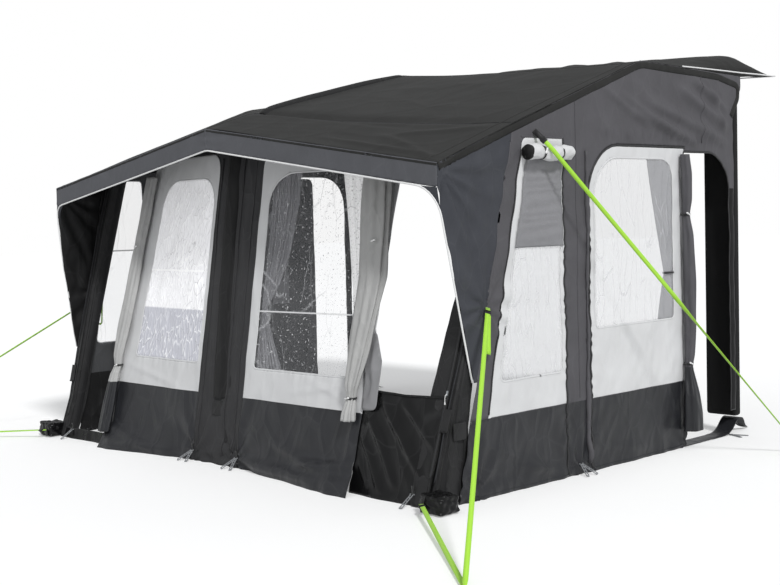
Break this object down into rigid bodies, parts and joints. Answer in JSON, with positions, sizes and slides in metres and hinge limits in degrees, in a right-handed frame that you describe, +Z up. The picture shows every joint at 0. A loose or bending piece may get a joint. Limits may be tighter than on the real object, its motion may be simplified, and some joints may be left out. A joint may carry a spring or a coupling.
{
  "type": "caravan awning",
  "caption": "Inflatable caravan awning with a sloping canopy roof, clear windows, tied-back doors, side blind, leg sleeves, pegging ladders and webbing straps.",
  "frame": {"origin": "on the ground at the middle of the awning's footprint, straps left out", "axes": "+X along the awning's width, to the right for someone who looks at its front; -Y to the front, +Y to the caravan; +Z up"},
  "size_m": [6.0498, 4.5539, 2.688],
  "materials": {
    "roof_cloth": "matte coated polyester",
    "wall_cloth": "matte coated polyester",
    "dark_cloth": "satin coated polyester",
    "light_cloth": "matte coated polyester",
    "clear_film": "clear glossy film",
    "air_tube": "satin sleeve over an air tube",
    "piping": "satin",
    "foam_cover": "matte",
    "webbing": "woven webbing",
    "white_plastic": "satin",
    "zip_metal": "satin"
  },
  "bodies": {
    "awning": {"air_beam_left": "air_tube", "air_beam_centre": "air_tube", "air_beam_right": "air_tube", "canopy_strut_left": "air_tube", "canopy_strut_centre": "air_tube", "canopy_strut_right": "air_tube", "roof_rear": "roof_cloth", "roof_front_left": "roof_cloth", "roof_front_right": "roof_cloth", "canopy_fascia": "wall_cloth", "canopy_piping": "piping", "rear_flap": "roof_cloth", "keder_bead": "piping", "wing_left": "wall_cloth", "wing_right": "wall_cloth", "side_wall_left": "wall_cloth", "side_wall_right": "wall_cloth", "side_front_panel_left": "light_cloth", "side_front_panel_right": "light_cloth", "side_front_window_left": "clear_film", "side_front_window_right": "clear_film", "side_rear_panel_left": "light_cloth", "side_rear_panel_right": "light_cloth", "side_rear_window_left": "clear_film", "side_rear_window_right": "clear_film", "side_door_left": "wall_cloth", "side_door_right": "wall_cloth", "rear_pad_left": "foam_cover", "rear_pad_right": "foam_cover", "door_threshold_left": "dark_cloth", "door_threshold_right": "dark_cloth", "leg_sleeve_left": "dark_cloth", "leg_sleeve_right": "dark_cloth", "front_wall": "wall_cloth", "front_panel_left": "light_cloth", "front_panel_right": "light_cloth", "front_window_left": "clear_film", "front_window_right": "clear_film", "front_door_left": "light_cloth", "front_door_right": "light_cloth", "low_panel_right": "dark_cloth", "door_sill_left": "dark_cloth", "rolled_blind_right": "light_cloth", "guy_strap_right": "webbing", "storm_strap_left": "webbing", "storm_strap_right": "webbing"},
    "post_ladders_left": {"post_ladders_left": "white_plastic"},
    "post_ladders_right": {"post_ladders_right": "white_plastic"},
    "corner_ladder_left": {"corner_ladder_left": "white_plastic"},
    "corner_ladder_right": {"corner_ladder_right": "white_plastic"},
    "side_ladders_left": {"side_ladders_left": "white_plastic"},
    "side_ladders_right": {"side_ladders_right": "white_plastic"},
    "rear_ladders_left": {"rear_ladders_left": "white_plastic"},
    "rear_ladders_right": {"rear_ladders_right": "white_plastic"},
    "valve_cover_left": {"valve_cover_left": "dark_cloth"},
    "valve_cover_centre": {"valve_cover_centre": "dark_cloth"},
    "valve_cover_right": {"valve_cover_right": "dark_cloth"},
    "zip_slider_right": {"zip_slider_right": "zip_metal"}
  },
  "joints": [
    {"name": "post_ladders_left_swing", "type": "hinge", "parent": "awning", "child": "post_ladders_left", "pos_m": [-0.33, -1.68966, 0.06425], "axis": [-1, 0, 0], "range_deg": [0, 80]},
    {"name": "post_ladders_right_swing", "type": "hinge", "parent": "awning", "child": "post_ladders_right", "pos_m": [0.14, -1.68633, 0.06425], "axis": [-1, 0, 0], "range_deg": [0, 80]},
    {"name": "corner_ladder_left_swing", "type": "hinge", "parent": "awning", "child": "corner_ladder_left", "pos_m": [-1.7634, -1.73888, 0.06428], "axis": [-1, 0, 0], "range_deg": [0, 80]},
    {"name": "corner_ladder_right_swing", "type": "hinge", "parent": "awning", "child": "corner_ladder_right", "pos_m": [1.7634, -1.73888, 0.06428], "axis": [-1, 0, 0], "range_deg": [0, 80]},
    {"name": "side_ladders_left_swing", "type": "hinge", "parent": "awning", "child": "side_ladders_left", "pos_m": [-1.9538, -0.49665, 0.06425], "axis": [0, 1, 0], "range_deg": [0, 80]},
    {"name": "side_ladders_right_swing", "type": "hinge", "parent": "awning", "child": "side_ladders_right", "pos_m": [1.9538, -0.49665, 0.06425], "axis": [0, -1, 0], "range_deg": [0, 80]},
    {"name": "rear_ladders_left_swing", "type": "hinge", "parent": "awning", "child": "rear_ladders_left", "pos_m": [-1.9515, 1.20335, 0.0046], "axis": [0, 1, 0], "range_deg": [0, 80]},
    {"name": "rear_ladders_right_swing", "type": "hinge", "parent": "awning", "child": "rear_ladders_right", "pos_m": [1.9515, 1.20335, 0.0046], "axis": [0, -1, 0], "range_deg": [0, 80]},
    {"name": "valve_cover_left_lift", "type": "hinge", "parent": "awning", "child": "valve_cover_left", "pos_m": [-1.945, -1.54665, 0.45], "axis": [0, 1, 0], "range_deg": [0, 95]},
    {"name": "valve_cover_centre_lift", "type": "hinge", "parent": "awning", "child": "valve_cover_centre", "pos_m": [-0.1, -1.62883, 0.41], "axis": [-1, 0, 0], "range_deg": [0, 95]},
    {"name": "valve_cover_right_lift", "type": "hinge", "parent": "awning", "child": "valve_cover_right", "pos_m": [1.945, -1.54665, 0.45], "axis": [0, -1, 0], "range_deg": [0, 95]},
    {"name": "zip_slider_right_run", "type": "slide", "parent": "awning", "child": "zip_slider_right", "axis": [0, 0.3244, 0.9459], "range_m": [0, 1.1]}
  ]
}
